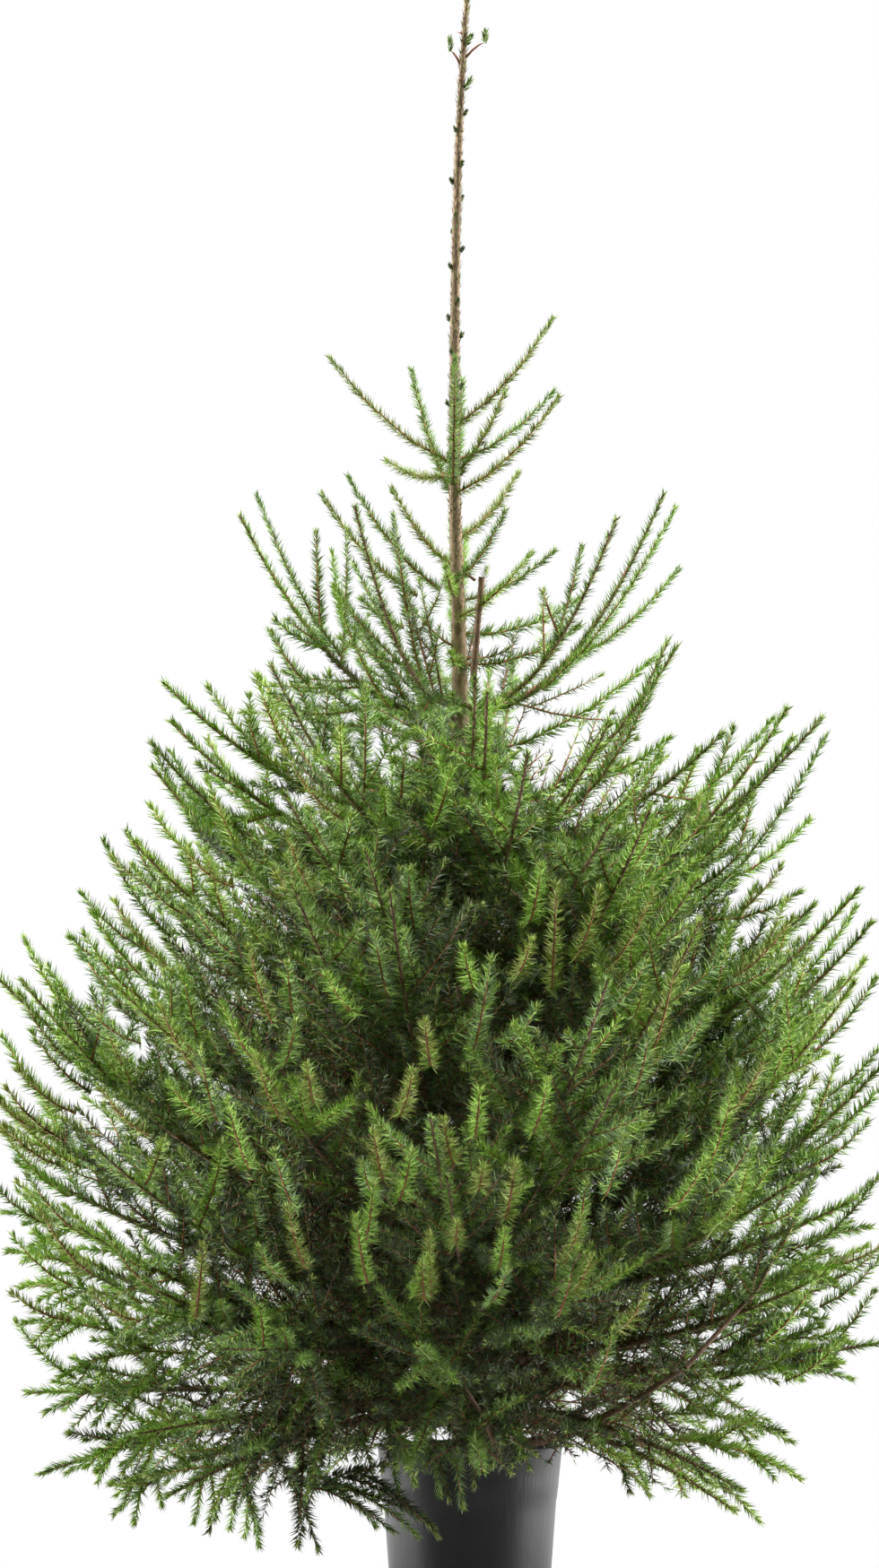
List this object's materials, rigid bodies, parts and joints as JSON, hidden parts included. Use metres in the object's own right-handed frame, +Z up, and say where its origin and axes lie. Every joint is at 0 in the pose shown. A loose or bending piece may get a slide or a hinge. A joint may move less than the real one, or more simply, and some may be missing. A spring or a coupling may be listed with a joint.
{
  "type": "potted christmas tree",
  "caption": "Living Norway spruce with a long bare leader over rising tiers of needled branches, rooted in a dark tapered nursery pot that stands on its flat base.",
  "frame": {"origin": "centre of the pot's flat underside, on the floor", "axes": "+Z up along the pot's axis to the leader's tip, -Y towards the side that the picture shows, +X to that view's right"},
  "size_m": [1.138, 1.1386, 2.103],
  "materials": {
    "pot": "dark grey moulded plastic, satin, with fine upright streaks",
    "soil": "crumbly moist compost, matt",
    "bark": "thin brown bark with fine scales, matt",
    "needles": "short green needles, slightly glossy"
  },
  "bodies": {
    "root": {"pot": "pot", "soil": "soil", "trunk": "bark", "whorl_11_bough_1": "bark", "whorl_11_bough_2": "bark", "whorl_11_bough_3": "bark", "whorl_11_bough_4": "bark", "whorl_12_bough_1": "bark", "whorl_12_bough_2": "bark", "whorl_12_bough_3": "bark", "whorl_12_bough_4": "bark", "whorl_1_foliage_1": "needles", "whorl_1_foliage_2": "needles", "whorl_1_foliage_3": "needles", "whorl_1_foliage_4": "needles", "whorl_1_foliage_5": "needles", "whorl_2_foliage_1": "needles", "whorl_2_foliage_2": "needles", "whorl_2_foliage_3": "needles", "whorl_3_foliage_1": "needles", "whorl_3_foliage_2": "needles", "whorl_3_foliage_3": "needles", "whorl_3_foliage_4": "needles", "whorl_3_foliage_5": "needles", "whorl_4_foliage_1": "needles", "whorl_4_foliage_2": "needles", "whorl_4_foliage_3": "needles", "whorl_4_foliage_4": "needles", "whorl_5_foliage_1": "needles", "whorl_5_foliage_2": "needles", "whorl_5_foliage_3": "needles", "whorl_5_foliage_4": "needles", "whorl_6_foliage_1": "needles", "whorl_6_foliage_2": "needles", "whorl_6_foliage_3": "needles", "whorl_6_foliage_4": "needles", "whorl_7_foliage_1": "needles", "whorl_7_foliage_2": "needles", "whorl_7_foliage_3": "needles", "whorl_7_foliage_4": "needles", "whorl_8_foliage_1": "needles", "whorl_8_foliage_2": "needles", "whorl_8_foliage_3": "needles", "whorl_8_foliage_4": "needles", "whorl_9_foliage_1": "needles", "whorl_9_foliage_2": "needles", "whorl_9_foliage_3": "needles", "whorl_9_foliage_4": "needles", "whorl_10_foliage_1": "needles", "whorl_10_foliage_2": "needles", "whorl_10_foliage_3": "needles", "whorl_10_foliage_4": "needles", "whorl_11_foliage_1": "needles", "whorl_11_foliage_2": "needles", "whorl_11_foliage_3": "needles", "whorl_11_foliage_4": "needles", "whorl_12_foliage_1": "needles", "whorl_12_foliage_2": "needles", "whorl_12_foliage_3": "needles", "whorl_12_foliage_4": "needles"}
  },
  "joints": []
}
